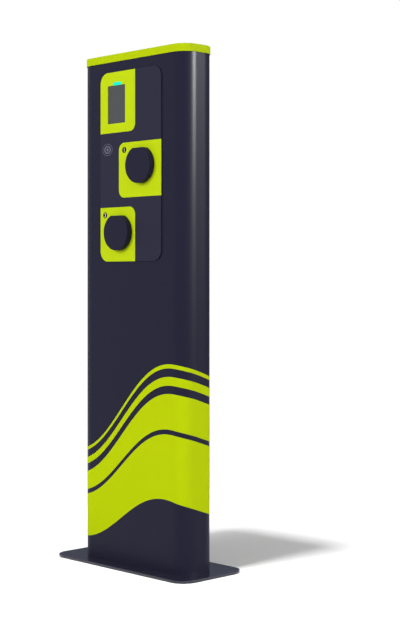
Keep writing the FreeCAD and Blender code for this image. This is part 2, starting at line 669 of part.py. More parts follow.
def make_door_hinges():
    x, y, r = DOOR_HINGE_X, DOOR_HINGE_Y, DOOR_KNUCKLE_R
    fixed, moving = [], []
    for z in DOOR_HINGE_ZS:
        low, high, split = z - 30, z + 30, 0.25
        fixed.append(
            fuse(
                rod_z(x, y, r, low, z - split),
                rod_z(x, y, DOOR_PIN_R, z - split - 1, high - 4),
                box(x, x + 24, Y_REAR, Y_REAR + 2, low, z - split),
                box(x, x + r, Y_REAR, y, low, z - split),
                box(x + r + 0.5, x + 24, Y_REAR, Y_REAR + 2, low, high),
            )
        )
        leaf = fuse(
            rod_z(x, y, r, z + split, high),
            box(x - 24, x - 2, Y_REAR, Y_REAR + 2, z + split, high),
            box(x - r, x - 2, Y_REAR, y, z + split, high),
            box(x - 24, x - r - 0.5, Y_REAR, Y_REAR + 2, low, high),
        )
        moving.append(cut(leaf, rod_z(x, y, DOOR_PIN_R + RUNNING_GAP, z - 1, high - 3)))
    write("door_hinge_posts", *fixed)
    write("door_hinge_leaves", *moving)


def make_door_lock(place):
    x, z = DOOR_LOCK_X, DOOR_LOCK_ZS[place]
    y_cam = Y_REAR_IN - 20
    head = rounded_edges(rod_y(x, z, DOOR_LOCK_R + 4, Y_REAR, Y_REAR + 3), 1.0, edges_at_y(Y_REAR + 3))
    lock = fuse(
        head,
        rod_y(x, z, DOOR_LOCK_R, y_cam, Y_REAR),
        prism_y(x - 8, x + 8, z - 32, z + 8, 3.0, y_cam, y_cam + 3),
    )
    y0, y1 = Y_REAR - 6, Y_REAR + 4
    keyway = fuse(rod_y(x, z, 4.5, y0, y1), box(x - 7.5, x + 7.5, y0, y1, z - 1.5, z + 1.5))
    stem = rod_y(x, z, 2.4, y0 - 1, Y_REAR + 1)
    write(f"door_lock_{place}", fuse(cut(lock, keyway), stem))


# ---- chassis and switchgear ----
def make_mounting_plate():
    plate = prism_y(-190.0, 190.0, *MOUNTING_PLATE_Z, 6.0, Y_UPRIGHT, Y_PLATE)
    y0, y1 = Y_UPRIGHT - 1, Y_PLATE + 1
    slots = [prism_y(x - 12, x + 12, 318.0, 324.0, 2.9, y0, y1) for x in (-120.0, 0.0, 120.0)]
    write("mounting_plate", cut(plate, *slots))


def make_din_rails():
    rails = []
    for z in RAIL_ZS.values():
        t = 1.2
        half = [(Y_PLATE, 0), (Y_PLATE, 13.5), (Y_RAIL - t, 13.5), (Y_RAIL - t, 17.5), (Y_RAIL, 17.5)]
        half += [(Y_RAIL, 12.3), (Y_PLATE + t, 12.3), (Y_PLATE + t, 0)]
        ring = [(y, z + dz) for y, dz in half[1:-1]] + [(y, z - dz) for y, dz in reversed(half[1:-1])]
        rails.append(profile_x(ring, -RAIL_HALF_LENGTH, RAIL_HALF_LENGTH))
    write("din_rails", *rails)


def din_device(x0, x1, z, depth=DEVICE_DEPTH):
    """Modular rail device: a deep nose between two shoulders that hold the terminal screws."""
    shoulder = min(SHOULDER_DEPTH, depth - 4)
    h, n = DEVICE_HALF_HEIGHT, NOSE_HALF_HEIGHT
    y0, y1, y2 = Y_RAIL, Y_RAIL + shoulder, Y_RAIL + depth
    upper = [(y0, z + h), (y1, z + h), (y1, z + n), (y2, z + n)]
    lower = [(y2, z - n), (y1, z - n), (y1, z - h), (y0, z - h)]
    return profile_x(upper + lower, x0, x1)


def screw_wells(x0, x1, z, count=4):
    """Round wells over the terminal screws, count across the top and as many across the bottom."""
    pitch = (x1 - x0) / count
    y = Y_RAIL + SHOULDER_DEPTH
    xs = [x0 + pitch * (k + 0.5) for k in range(count)]
    reach = DEVICE_HALF_HEIGHT - 9
    return [rod_y(x, z + s * reach, 3.2, y - 8, y + 1) for x in xs for s in (-1, 1)]


def lever_z():
    return RAIL_ZS["breakers"] - 2.0


def test_button_place(name):
    x0, x1 = BREAKERS[name]
    return x1 - 10.0, RAIL_ZS["breakers"] + 2.0


def make_breaker(name):
    x0, x1 = BREAKERS[name]
    z = RAIL_ZS["breakers"]
    mid = (x0 + x1) / 2 - 4
    y_nose = Y_RAIL + DEVICE_DEPTH
    w = LEVER_HALF_WIDTH
    pocket = box(mid - w - 0.5, mid + w + 0.5, LEVER_Y - 9, y_nose + 1, lever_z() - 16, lever_z() + 16)
    pivots = rod_x(LEVER_Y, lever_z(), LEVER_PIN_R + RUNNING_GAP, mid - w - 4, mid + w + 4)
    cuts = [pocket, pivots, *screw_wells(x0, x1, z)]
    if name != "main_switch":
        bx, bz = test_button_place(name)
        cuts.append(rod_y(bx, bz, TEST_BUTTON_R + RUNNING_GAP, y_nose - 10, y_nose + 1))
    write(name, cut(din_device(x0, x1, z), *cuts))
    hub = rod_x(LEVER_Y, lever_z(), LEVER_HUB_R, mid - w, mid + w)
    grip = box(mid - w, mid + w, LEVER_Y, LEVER_Y + LEVER_LENGTH, lever_z() - 2.5, lever_z() + 2.5)
    grip = rounded_edges(grip, 1.0, edges_at_y(LEVER_Y + LEVER_LENGTH))
    grip.rotate(V(0, LEVER_Y, lever_z()), V(1, 0, 0), LEVER_ANGLE)
    stubs = rod_x(LEVER_Y, lever_z(), LEVER_PIN_R, mid - w - 3, mid + w + 3)
    write(f"{name}_lever", fuse(hub, grip, stubs))


def make_test_button(name):
    bx, bz = test_button_place(name)
    y_nose = Y_RAIL + DEVICE_DEPTH
    button = rod_y(bx, bz, TEST_BUTTON_R, y_nose - 6, y_nose + TEST_BUTTON_TRAVEL + 0.5)
    write(f"{name}_test_button", rounded_edges(button, 0.6, edges_at_y(y_nose + TEST_BUTTON_TRAVEL + 0.5)))


def make_metering():
    z = RAIL_ZS["metering"]
    contactors, meters = [], []
    for x in CONTACTOR_XS:
        case = cut(din_device(x - 27, x + 27, z, 56.0), *screw_wells(x - 27, x + 27, z))
        window_cut = box(x - 9, x + 9, Y_RAIL + 54.5, Y_RAIL + 57, z - 6, z + 6)
        contactors.append(cut(case, window_cut))
    for x in METER_XS:
        case = cut(din_device(x - 35, x + 35, z), *screw_wells(x - 35, x + 35, z, 6))
        screen = box(x - 26, x + 26, Y_RAIL + DEVICE_DEPTH - 1, Y_RAIL + DEVICE_DEPTH + 1, z - 4, z + 16)
        meters.append(cut(case, screen))
    write("contactors", *contactors)
    write("energy_meters", *meters)


def make_power_supply():
    z = RAIL_ZS["supply"]
    case = cut(din_device(-165.0, -93.0, z), *screw_wells(-165.0, -93.0, z))
    y_nose = Y_RAIL + DEVICE_DEPTH
    slots = [box(-158.0, -100.0, y_nose - 1.5, y_nose + 1, z + dz, z + dz + 2) for dz in range(-14, 14, 5)]
    write("power_supply", cut(case, *slots))


def make_terminals():
    z = RAIL_ZS["terminals"]
    blocks = []
    for k in range(12):
        x0 = -90.0 + 12 * k
        upper = [(Y_RAIL, z + 25), (Y_RAIL + 26, z + 25), (Y_RAIL + 40, z + 12)]
        lower = [(Y_RAIL + 40, z - 12), (Y_RAIL + 26, z - 25), (Y_RAIL, z - 25)]
        block = profile_x(upper + lower, x0, x0 + 11.6)
        wells = [rod_y(x0 + 5.8, z + s * 8, 3.0, Y_RAIL + 30, Y_RAIL + 41) for s in (-1, 1)]
        blocks.append(cut(block, *wells))
    write("terminal_blocks", *blocks)
    bar = box(-150.0, -10.0, Y_PLATE + 16, Y_PLATE + 22, 166.0, 180.0)
    feet = [box(x, x + 10, Y_PLATE, Y_PLATE + 16, 166.0, 180.0) for x in (-148.0, -22.0)]
    screws = [rod_y(-134.0 + 12 * k, 173.0, 3.6, Y_PLATE + 22, Y_PLATE + 26) for k in range(10)]
    write("earth_bar", fuse(bar, *feet), *screws)


def make_cable_clamps():
    z, y0 = 112.0, Y_UPRIGHT
    end = UPRIGHT_X[1]
    web = box(-end, end, y0 + 6, y0 + 9, z - 15, z + 15)
    lip = box(-end, end, y0 + 6, y0 + 18, z + 12, z + 15)
    arms = [box(x, x + 20, y0, y0 + 6, z - 15, z + 15) for x in (-end, end - 20)]
    rail = fuse(web, lip, *arms)
    saddles = []
    for x in (-70.0, 70.0):
        block = box(x - 24, x + 24, y0 + 9, y0 + 41, z - 11, z + 11)
        saddles.append(cut(block, rod_z(x, y0 + 25, 13.0, z - 12, z + 12)))
    write("cable_clamps", rail, *saddles)


def main():
    os.makedirs("parts", exist_ok=True)
    make_base_plate()
    make_post_shell()
    make_top_cap()
    make_antenna()
    make_uprights()
    make_feet()
    make_fascia_plate()
    make_fascia_studs()
    make_fascia_cover()
    make_display_tile()
    make_display()
    make_card_reader()
    make_controller_box()
    for number in SOCKETS:
        make_socket_tile(number)
        make_socket_housing(number)
        make_socket_body(number)
        make_lid(number)
        make_lid_spring(number)
        make_plug_lock(number)
    make_socket_contacts()
    make_socket_cables()
    make_door_frame()
    make_rear_door()
    make_door_hinges()
    for place in DOOR_LOCK_ZS:
        make_door_lock(place)
    make_mounting_plate()
    make_din_rails()
    for name in BREAKERS:
        make_breaker(name)
    for name in ("rcbo_1", "rcbo_2"):
        make_test_button(name)
    make_metering()
    make_power_supply()
    make_terminals()
    make_cable_clamps()


main()
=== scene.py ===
import math

import bmesh
import bpy
import numpy as np
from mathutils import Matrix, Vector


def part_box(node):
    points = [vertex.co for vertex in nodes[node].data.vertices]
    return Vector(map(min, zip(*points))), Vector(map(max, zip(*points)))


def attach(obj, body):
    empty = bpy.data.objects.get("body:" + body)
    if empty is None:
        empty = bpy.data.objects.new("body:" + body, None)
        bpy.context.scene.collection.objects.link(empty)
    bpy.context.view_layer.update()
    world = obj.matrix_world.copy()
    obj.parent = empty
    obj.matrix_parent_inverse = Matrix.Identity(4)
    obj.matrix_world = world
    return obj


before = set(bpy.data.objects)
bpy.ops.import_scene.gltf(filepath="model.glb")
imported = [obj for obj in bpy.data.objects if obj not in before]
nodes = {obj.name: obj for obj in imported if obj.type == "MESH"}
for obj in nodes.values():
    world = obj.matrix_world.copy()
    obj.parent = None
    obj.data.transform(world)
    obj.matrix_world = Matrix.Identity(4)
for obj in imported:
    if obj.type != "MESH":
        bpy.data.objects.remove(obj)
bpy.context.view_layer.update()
MM = 0.001

# ---- base plate ----
# An 8 mm steel plate that the pillar is welded to and that four anchor bolts, hidden inside the pillar, hold
# down. Its powder coat is a glossy blue-black, darker and shinier than the pillar's, and it mirrors its foot.


def linear(code):
    """Linear colour of an sRGB hex code.

    It is c / 12.92 up to 0.04045, and ((c + 0.055) / 1.055) ^ 2.4 above it.
    """
    c = np.array([int(code[k : k + 2], 16) for k in (1, 3, 5)]) / 255
    return np.where(c <= 0.04045, c / 12.92, ((c + 0.055) / 1.055) ** 2.4)


def rgba(colour):
    return (*np.clip(colour, 0, 1), 1.0)


def add(tree, kind, sockets=(), **settings):
    """Adds a node with its settings; each socket takes a number, a colour or another node's output."""
    node = tree.nodes.new(kind)
    for name, value in settings.items():
        setattr(node, name, value)
    for name, value in dict(sockets).items():
        if isinstance(value, bpy.types.NodeSocket):
            tree.links.new(value, node.inputs[name])
        else:
            node.inputs[name].default_value = value
    return node


def blank_material(name):
    material = bpy.data.materials.new(name)
    material.use_nodes = True
    material.node_tree.nodes.clear()
    return material, material.node_tree


def grained(name, code, grain, depth, roughness, specular=0.5, spread=0.05, tone=0.06, patch=0.25):
    """A painted or moulded finish.

    grain is the size of its fine texture and depth its height, patch the size of the large cloudy variation
    that turns the colour lighter and darker by tone and the roughness by spread, all in metres.
    """
    material, tree = blank_material(name)
    place = add(tree, "ShaderNodeTexCoord").outputs["Object"]
    cloud = add(tree, "ShaderNodeTexNoise", {"Vector": place, "Scale": 1 / patch, "Detail": 3.0})
    fine = add(tree, "ShaderNodeTexNoise", {"Vector": place, "Scale": 1 / grain, "Detail": 2.0})
    both = add(tree, "ShaderNodeMath", {0: cloud.outputs["Fac"], 1: fine.outputs["Fac"]}, operation="ADD")
    share = add(tree, "ShaderNodeMath", {0: both.outputs[0], 1: 0.5}, operation="MULTIPLY")
    colour = linear(code)
    tint = add(tree, "ShaderNodeMix", {"Factor": share.outputs[0]}, data_type="RGBA")
    tint.inputs[6].default_value = rgba(colour * (1 - 2 * tone))
    tint.inputs[7].default_value = rgba(colour * (1 + 2 * tone))
    rough = add(
        tree,
        "ShaderNodeMapRange",
        {"Value": cloud.outputs["Fac"], "To Min": roughness - spread, "To Max": roughness + spread},
    )
    bump = add(tree, "ShaderNodeBump", {"Height": fine.outputs["Fac"], "Strength": 1.0, "Distance": depth})
    surface = add(
        tree,
        "ShaderNodeBsdfPrincipled",
        {
            "Base Color": tint.outputs[2],
            "Roughness": rough.outputs[0],
            "Normal": bump.outputs[0],
            "Specular IOR Level": specular,
        },
    )
    add(tree, "ShaderNodeOutputMaterial", {"Surface": surface.outputs[0]})
    return material


def dress(material, *names):
    """Gives CAD nodes their finish."""
    for name in names:
        nodes[name].data.materials.clear()
        nodes[name].data.materials.append(material)


# Powder coat over blasted steel: a faint orange peel, drawn at 3 mm so that it can be seen.
plate_coat = grained("plate_gloss_coat", "#232234", grain=3 * MM, depth=0.004 * MM, roughness=0.22)
dress(plate_coat, "base_plate")

# ---- chassis ----
# Two box-section uprights bolted to the base plate through brackets carry the pillar's sheet, and a mounting
# plate and top-hat rails are fixed across them. All of it is zinc-plated steel, a cool grey with a cloudy
# spangle and fine rolling marks.


def plated(name, code, roughness, spangle=9 * MM, marks=0.6 * MM):
    """Zinc-plated or bright metal: crystal patches change its tone, and lengthwise marks its height."""
    material, tree = blank_material(name)
    place = add(tree, "ShaderNodeTexCoord").outputs["Object"]
    crystal = add(tree, "ShaderNodeTexVoronoi", {"Vector": place, "Scale": 1 / spangle})
    level = add(tree, "ShaderNodeRGBToBW", {"Color": crystal.outputs["Color"]})
    stretched = add(tree, "ShaderNodeMapping", {"Vector": place, "Scale": (1 / marks, 1 / marks, 20.0)})
    scratch = add(tree, "ShaderNodeTexNoise", {"Vector": stretched.outputs[0], "Scale": 1.0, "Detail": 2.0})
    colour = linear(code)
    tint = add(tree, "ShaderNodeMix", {"Factor": level.outputs[0]}, data_type="RGBA")
    tint.inputs[6].default_value = rgba(colour * 0.88)
    tint.inputs[7].default_value = rgba(colour * 1.1)
    rough = add(
        tree,
        "ShaderNodeMapRange",
        {"Value": level.outputs[0], "To Min": roughness - 0.07, "To Max": roughness + 0.07},
    )
    bump = add(
        tree, "ShaderNodeBump", {"Height": scratch.outputs["Fac"], "Strength": 0.6, "Distance": 0.02 * MM}
    )
    surface = add(
        tree,
        "ShaderNodeBsdfPrincipled",
        {
            "Base Color": tint.outputs[2],
            "Metallic": 1.0,
            "Roughness": rough.outputs[0],
            "Normal": bump.outputs[0],
        },
    )
    add(tree, "ShaderNodeOutputMaterial", {"Surface": surface.outputs[0]})
    return material


zinc = plated("zinc_plated_steel", "#b9bdc1", 0.38)
bright_steel = plated("ground_bright_steel", "#c4c4c6", 0.22, spangle=2 * MM, marks=0.3 * MM)
dress(zinc, "uprights", "foot_brackets", "foot_bolts", "mounting_plate", "din_rails", "cable_clamps")

# ---- rail devices ----
# The main switch, the two residual-current breakers, contactors, energy meters, power supply and terminals
# clip on the rails. Their cases are moulded polyamide in light or mid grey with a fine spark-eroded texture.
light_polyamide = grained("light_grey_polyamide", "#d6d8d6", 0.8 * MM, 0.02 * MM, 0.5, specular=0.4)
mid_polyamide = grained("mid_grey_polyamide", "#80858b", 0.8 * MM, 0.02 * MM, 0.5, specular=0.4)
black_polyamide = grained("black_polyamide", "#17181b", 0.8 * MM, 0.02 * MM, 0.45, specular=0.4)
blue_polyamide = grained("blue_polyamide", "#1d4f9c", 0.8 * MM, 0.01 * MM, 0.35)
dress(light_polyamide, "main_switch", "rcbo_1", "rcbo_2", "energy_meters")
dress(mid_polyamide, "contactors", "power_supply", "terminal_blocks")
dress(mid_polyamide, "rcbo_1_test_button", "rcbo_2_test_button")
dress(black_polyamide, "main_switch_lever", "antenna")
dress(blue_polyamide, "rcbo_1_lever", "rcbo_2_lever")

# The bar for the protective earths is drawn brass, warm and slightly dulled.
brass = plated("dull_brass", "#b8934f", 0.35, spangle=14 * MM)
dress(brass, "earth_bar")


def grid_shape(rows, around=False, along=False, caps=False):
    """Points and faces over rows[i, j]: each quad joins (i, j), (i+1, j), (i+1, j+1) and (i, j+1).

    around closes j on itself, along closes i, and caps fill the first and the last row.
    """
    n, m = rows.shape[:2]
    i, j = np.meshgrid(np.arange(n if along else n - 1), np.arange(m if around else m - 1), indexing="ij")
    up, on = (i + 1) % n, (j + 1) % m
    quads = np.stack([i * m + j, up * m + j, up * m + on, i * m + on], -1).reshape(-1, 4).tolist()
    if caps:
        quads += [list(range(m)), list(range((n - 1) * m, n * m))]
    return rows.reshape(-1, 3), quads


def joined(shapes):
    """One shape of several: each one's face indices move up by the points before it."""
    points = np.concatenate([p for p, _ in shapes])
    starts = np.cumsum([0] + [len(p) for p, _ in shapes[:-1]])
    moved = [[k + start for k in face] for start, (_, faces) in zip(starts, shapes) for face in faces]
    return points, moved


def piece(name, shape, material, body, sharp=35.0):
    """A finished piece with outward faces, smooth but for edges sharper than sharp degrees."""
    points, faces = shape
    mesh = bpy.data.meshes.new(name)
    mesh.from_pydata(points.tolist(), [], faces)
    work = bmesh.new()
    work.from_mesh(mesh)
    bmesh.ops.recalc_face_normals(work, faces=work.faces)
    work.to_mesh(mesh)
    work.free()
    mesh.polygons.foreach_set("use_smooth", np.ones(len(mesh.polygons), bool))
    mesh.set_sharp_from_angle(angle=math.radians(sharp))
    mesh.materials.append(material)
    made = bpy.data.objects.new(name, mesh)
    bpy.context.scene.collection.objects.link(made)
    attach(made, body)
    return made


def turned_y(x, z, profile, sides):
    """A turned shape on an axis along Y: circles of radius r at depth y for each (r, y) of the profile."""
    turn = np.linspace(0, 2 * np.pi, sides, endpoint=False)
    r, y = np.array(profile, float).T
    across, up = x + r[:, None] * np.cos(turn), z + r[:, None] * np.sin(turn)
    return grid_shape(np.stack([across, np.repeat(y[:, None], sides, 1), up], -1), around=True, caps=True)


def socket_screw(x, y, z, r, height=2.5 * MM):
    """A small screw head at depth y that faces +Y: a chamfered rim round a driver recess."""
    low, top = y, y + height
    profile = [(r, low), (r, top - 0.15 * r), (0.85 * r, top), (0.42 * r, top), (0.36 * r, top - 0.5 * r)]
    return turned_y(x, z, profile, 16)


def columns(edge, width, count):
    """X places of a device's terminals, spread evenly over its width from its left edge."""
    return [edge + width * (k + 0.5) / count for k in range(count)]


# ---- clamp screws ----
# Zinc-plated clamp screws sit 8 mm down in the round wells of every rail device, in one row along its upper
# edge and one along its lower edge. Four poles each, and six on a meter.
WELL_DEPTH = 8 * MM
SHOULDER = 44 * MM
SCREW_EDGE = 9 * MM
device_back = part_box("main_switch")[0].y
well_floor = device_back + SHOULDER - WELL_DEPTH
heads = []
device_columns = {}
for node in ("main_switch", "rcbo_1", "rcbo_2", "power_supply"):
    low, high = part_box(node)
    device_columns[node] = columns(low.x, high.x - low.x, 4)
METER_WIDTH = 70 * MM
CONTACTOR_WIDTH = 54 * MM
for node, width, count in (("energy_meters", METER_WIDTH, 6), ("contactors", CONTACTOR_WIDTH, 4)):
    low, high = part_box(node)
    device_columns[node] = columns(low.x, width, count) + columns(high.x - width, width, count)
for node, places in device_columns.items():
    low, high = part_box(node)
    for x in places:
        heads.append(socket_screw(x, well_floor, low.z + SCREW_EDGE, 2.8 * MM))
        heads.append(socket_screw(x, well_floor, high.z - SCREW_EDGE, 2.8 * MM))
piece("terminal_screws", joined(heads), zinc, "post")

# ---- wiring ----
# Stranded copper with a satin PVC jacket in the usual phase colours, bent in one easy bow from terminal to
# terminal and held at both ends.
WIRE_R = 1.9 * MM
WIRE_END = 3 * MM


def wire(start, end, start_way, end_way, radius=WIRE_R, samples=28, sides=10):
    """A tube on a cubic Bezier from start to end; start_way and end_way are its handles."""
    a, d = np.array(start, float), np.array(end, float)
    b, c = a + start_way, d + end_way
    t = np.linspace(0, 1, samples)[:, None]
    line = (1 - t) ** 3 * a + 3 * (1 - t) ** 2 * t * b + 3 * (1 - t) * t**2 * c + t**3 * d
    ahead = np.gradient(line, axis=0)
    ahead /= np.linalg.norm(ahead, axis=1, keepdims=True)
    side = np.cross(ahead, [1.0, 0.13, 0.07])
    side /= np.linalg.norm(side, axis=1, keepdims=True)
    third = np.cross(ahead, side)
    turn = np.linspace(0, 2 * np.pi, sides, endpoint=False)
    ring = np.cos(turn)[None, :, None] * side[:, None] + np.sin(turn)[None, :, None] * third[:, None]
    return grid_shape(line[:, None] + radius * ring, around=True, caps=True)


def bowed_wire(start, end, bow):
    """A wire that leaves both of its terminals along +Y by bow."""
    return wire(start, end, (0, bow, 0), (0, bow, 0))


def terminal(node, k, upper):
    """The place where a wire enters a rail device's terminal k, in its upper or its lower row."""
    low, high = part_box(node)
    z = high.z - SCREW_EDGE if upper else low.z + SCREW_EDGE
    return device_columns[node][k], well_floor + WIRE_END, z


block_low, block_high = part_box("terminal_blocks")
TERMINALS = 12
block_tops = [
    (x, block_high.y - 7 * MM, block_high.z - 8 * MM)
    for x in columns(block_low.x, block_high.x - block_low.x, TERMINALS)
]
# Each run is its conductor's number, its two ends and its bow.
wire_runs = []
for k in range(4):
    for first, node in ((0, "main_switch"), (4, "rcbo_1"), (8, "rcbo_2")):
        wire_runs.append((k, block_tops[first + k], terminal(node, k, False), 38 * MM))
    for node, place in (("rcbo_1", k), ("rcbo_2", 4 + k)):
        wire_runs.append((k, terminal(node, k, True), terminal("contactors", place, False), 30 * MM))
    to_meter = terminal("energy_meters", 1 + k, False)
    wire_runs.append((k, terminal("main_switch", k, True), to_meter, 34 * MM))
WIRE_COLOURS = {"brown": "#5b3420", "black": "#141416", "grey": "#7d8084", "blue": "#1f56a8"}
for number, (hue, code) in enumerate(WIRE_COLOURS.items()):
    jacket = grained(f"{hue}_pvc_jacket", code, 1.5 * MM, 0.01 * MM, 0.4, specular=0.4)
    runs = [bowed_wire(a, b, bow) for k, a, b, bow in wire_runs if k == number]
    piece(f"{hue}_wires", joined(runs), jacket, "post", sharp=60)

# ---- mounting plate screws ----
# Zinc-plated screws with a head 8 mm wide, three to a side, clamp the mounting plate to the uprights.
# Their recess takes the same key as the terminals.
plate_low, plate_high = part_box("mounting_plate")
plate_screws = [
    socket_screw(x, plate_high.y, z, 4 * MM)
    for x in (plate_low.x + 11 * MM, plate_high.x - 11 * MM)
    for z in np.linspace(plate_low.z + 30 * MM, plate_high.z - 30 * MM, 3)
]
piece("mounting_plate_screws", joined(plate_screws), zinc, "post")

# ---- terminal markers ----
# A white polyamide strip snaps on the front of the terminal row and numbers its twelve terminals. The numbers
# are screen printed in a dull black ink.


def slab(x0, x1, y0, y1, z0, z1):
    """A rectangular block."""
    rows = [[(x0, y, z0), (x1, y, z0), (x1, y, z1), (x0, y, z1)] for y in (y0, y1)]
    return grid_shape(np.array(rows, float), around=True, caps=True)


def ink(name, code, specular):
    """A thin, dull screen-printed ink."""
    return grained(name, code, 1.2 * MM, 0.004 * MM, 0.5, specular=specular)


def numeral(text, x, z, height, face, thickness, way=-1):
    """A plain numeral centred on (x, z), thickness off a face; way is 1 if it faces +Y and -1 if -Y."""
    curve = bpy.data.curves.new("numeral", "FONT")
    curve.body = text
    curve.size = 1.0
    flat = bpy.data.objects.new("numeral", curve)
    mesh = bpy.data.meshes.new_from_object(flat)
    points = np.zeros(len(mesh.vertices) * 3)
    mesh.vertices.foreach_get("co", points)
    points = points.reshape(-1, 3)
    faces = [list(p.vertices) for p in mesh.polygons]
    low, high = points.min(0), points.max(0)
    scale = height / (high[1] - low[1])
    middle = (low + high) / 2
    across = x - way * (points[:, 0] - middle[0]) * scale
    up = (points[:, 1] - middle[1]) * scale + z
    placed = np.stack([across, np.full(len(points), face + way * thickness), up], -1)
    bpy.data.objects.remove(flat)
    bpy.data.curves.remove(curve)
    bpy.data.meshes.remove(mesh)
    return placed, faces


strip_z = (block_low.z + block_high.z) / 2
strip_front = block_high.y + 0.6 * MM
STRIP_HALF = 3.5 * MM
marker_strip = slab(
    block_low.x, block_high.x, block_high.y, strip_front, strip_z - STRIP_HALF, strip_z + STRIP_HALF
)
piece("marker_strip", marker_strip, light_polyamide, "post")
black_ink = ink("black_screen_ink", "#08080a", 0.05)
counts = [
    numeral(str(TERMINALS - k), x, strip_z, 4.2 * MM, strip_front, 0.05 * MM, way=1)
    for k, (x, _, _) in enumerate(block_tops)
]
piece("marker_numbers", joined(counts), black_ink, "post")

# ---- earth wires ----
# Stranded copper in a green and yellow PVC jacket, looped from the brass bar to zinc-plated lugs on the
# mounting plate. The bands are drawn coarser than real ones, so that they show.


def striped_jacket():
    """Green PVC with slanting yellow bands, one pair every 14 mm."""
    material, tree = blank_material("green_yellow_pvc_jacket")
    place = add(tree, "ShaderNodeTexCoord").outputs["Object"]
    bands = add(
        tree,
        "ShaderNodeTexWave",
        {"Vector": place, "Scale": math.tau / 10 / (14 * MM)},
        bands_direction="DIAGONAL",
    )
    sharp = add(tree, "ShaderNodeMath", {0: bands.outputs["Fac"], 1: 0.5}, operation="GREATER_THAN")
    tint = add(tree, "ShaderNodeMix", {"Factor": sharp.outputs[0]}, data_type="RGBA")
    tint.inputs[6].default_value = rgba(linear("#1f7a35"))
    tint.inputs[7].default_value = rgba(linear("#d8c01e"))
    surface = add(tree, "ShaderNodeBsdfPrincipled", {"Base Color": tint.outputs[2], "Roughness": 0.4})
    add(tree, "ShaderNodeOutputMaterial", {"Surface": surface.outputs[0]})
    return material


bar_low, bar_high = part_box("earth_bar")
lug_z = (bar_low.z + bar_high.z) / 2 - 6 * MM
# Each wire's places in X, first on the bar and then on the mounting plate.
earth_ends = [
    (bar_high.x - 14 * MM, bar_high.x + 52 * MM),
    (bar_high.x - 26 * MM, bar_high.x + 30 * MM),
    (bar_low.x + 14 * MM, bar_low.x - 22 * MM),
]
BAR_WAY = (0, 12 * MM, 35 * MM)
LUG_WAY = (0, 28 * MM, 12 * MM)
earths = []
for x, to in earth_ends:
    on_bar = (x, bar_high.y - 1 * MM, bar_high.z - 4 * MM)
    earths.append(wire(on_bar, (to, plate_high.y + 2 * MM, lug_z), BAR_WAY, LUG_WAY))
piece("earth_wires", joined(earths), striped_jacket(), "post", sharp=60)
lugs = [socket_screw(to, plate_high.y, lug_z, 4.5 * MM, 3 * MM) for _, to in earth_ends]
piece("earth_lugs", joined(lugs), zinc, "post")

# ---- pillar shell ----
# A 3 mm sheet-steel tube with four large round corners, open to the front behind the fascia and to the rear
# for the service door. The satin powder coat is a blue-black, nearly smooth, with a very faint orange peel.
pillar_coat = grained(
    "blue_black_powder_coat",
    "#222133",
    grain=3 * MM,
    depth=0.006 * MM,
    roughness=0.36,
    specular=0.06,
    spread=0.03,
    tone=0.03,
    patch=0.4,
)
dress(pillar_coat, "post_shell", "rear_door")

# ---- top cap ----
# A deep-drawn steel lid pushed over the pillar's top, with a flat roof and a short skirt. It is powder coated
# in a matt lime that hardly mirrors.
lime_coat = grained(
    "lime_powder_coat",
    "#b6ca10",
    grain=3 * MM,
    depth=0.006 * MM,
    roughness=0.6,
    specular=0.005,
    spread=0.03,
    tone=0.02,
    patch=0.4,
)
dress(lime_coat, "top_cap")

# ---- fascia ----
# Moulded ASA sheets, coloured right through: a blue-black backing plate and cover, and three lime tiles let
# in flush. A fine spark-eroded grain gives them a satin look, and steel studs hold them to the pillar.
fascia_asa = grained(
    "blue_black_asa",
    "#2b2a3c",
    grain=1.6 * MM,
    depth=0.01 * MM,
    roughness=0.42,
    specular=0.06,
    spread=0.03,
    tone=0.03,
)
lime_asa = grained(
    "lime_asa",
    "#bfd50e",
    grain=1.6 * MM,
    depth=0.01 * MM,
    roughness=0.42,
    specular=0.06,
    spread=0.03,
    tone=0.02,
)
dress(fascia_asa, "fascia_plate", "fascia_cover")
dress(lime_asa, "display_tile", "socket_tile_1", "socket_tile_2")
dress(zinc, "fascia_studs")

# ---- display ----
# A switched-off display behind a hard-coated acrylic window: a flat warm grey under a clean gloss, with the
# faint grid of its picture elements.


def display_finish():
    """Grey panel under a clear hard coat.

    Two crossed waves draw the grid, coarser than the real one so that it shows.
    """
    material, tree = blank_material("display_behind_acrylic")
    place = add(tree, "ShaderNodeTexCoord").outputs["Object"]
    lines = []
    for direction in ("X", "Z"):
        wave = add(
            tree,
            "ShaderNodeTexWave",
            {"Vector": place, "Scale": 1 / (1.2 * MM) / 20},
            bands_direction=direction,
        )
        lines.append(wave.outputs["Fac"])
    grid = add(tree, "ShaderNodeMath", {0: lines[0], 1: lines[1]}, operation="MULTIPLY")
    tint = add(tree, "ShaderNodeMix", {"Factor": grid.outputs[0]}, data_type="RGBA")
    tint.inputs[6].default_value = rgba(linear("#36383a"))
    tint.inputs[7].default_value = rgba(linear("#3c3e40"))
    surface = add(
        tree,
        "ShaderNodeBsdfPrincipled",
        {
            "Base Color": tint.outputs[2],
            "Roughness": 0.3,
            "Specular IOR Level": 0.3,
            "Coat Weight": 0.3,
            "Coat Roughness": 0.06,
        },
    )
    add(tree, "ShaderNodeOutputMaterial", {"Surface": surface.outputs[0]})
    return material


dress(display_finish(), "display_window")
dress(black_polyamide, "display_module")

# ---- status light ----
# A light-guide lens of milky polycarbonate, let in above the display and lit cyan from behind by a row of
# diodes. It glows evenly, with next to no mirror of its own.
lens_lit, tree = blank_material("lit_cyan_polycarbonate")
surface = add(
    tree,
    "ShaderNodeBsdfPrincipled",
    {
        "Base Color": rgba(linear("#002b25")),
        "Roughness": 0.35,
        "Specular IOR Level": 0.1,
        "Emission Color": rgba(linear("#00ffd2")),
        "Emission Strength": 0.92,
    },
)
add(tree, "ShaderNodeOutputMaterial", {"Surface": surface.outputs[0]})
dress(lens_lit, "status_light")

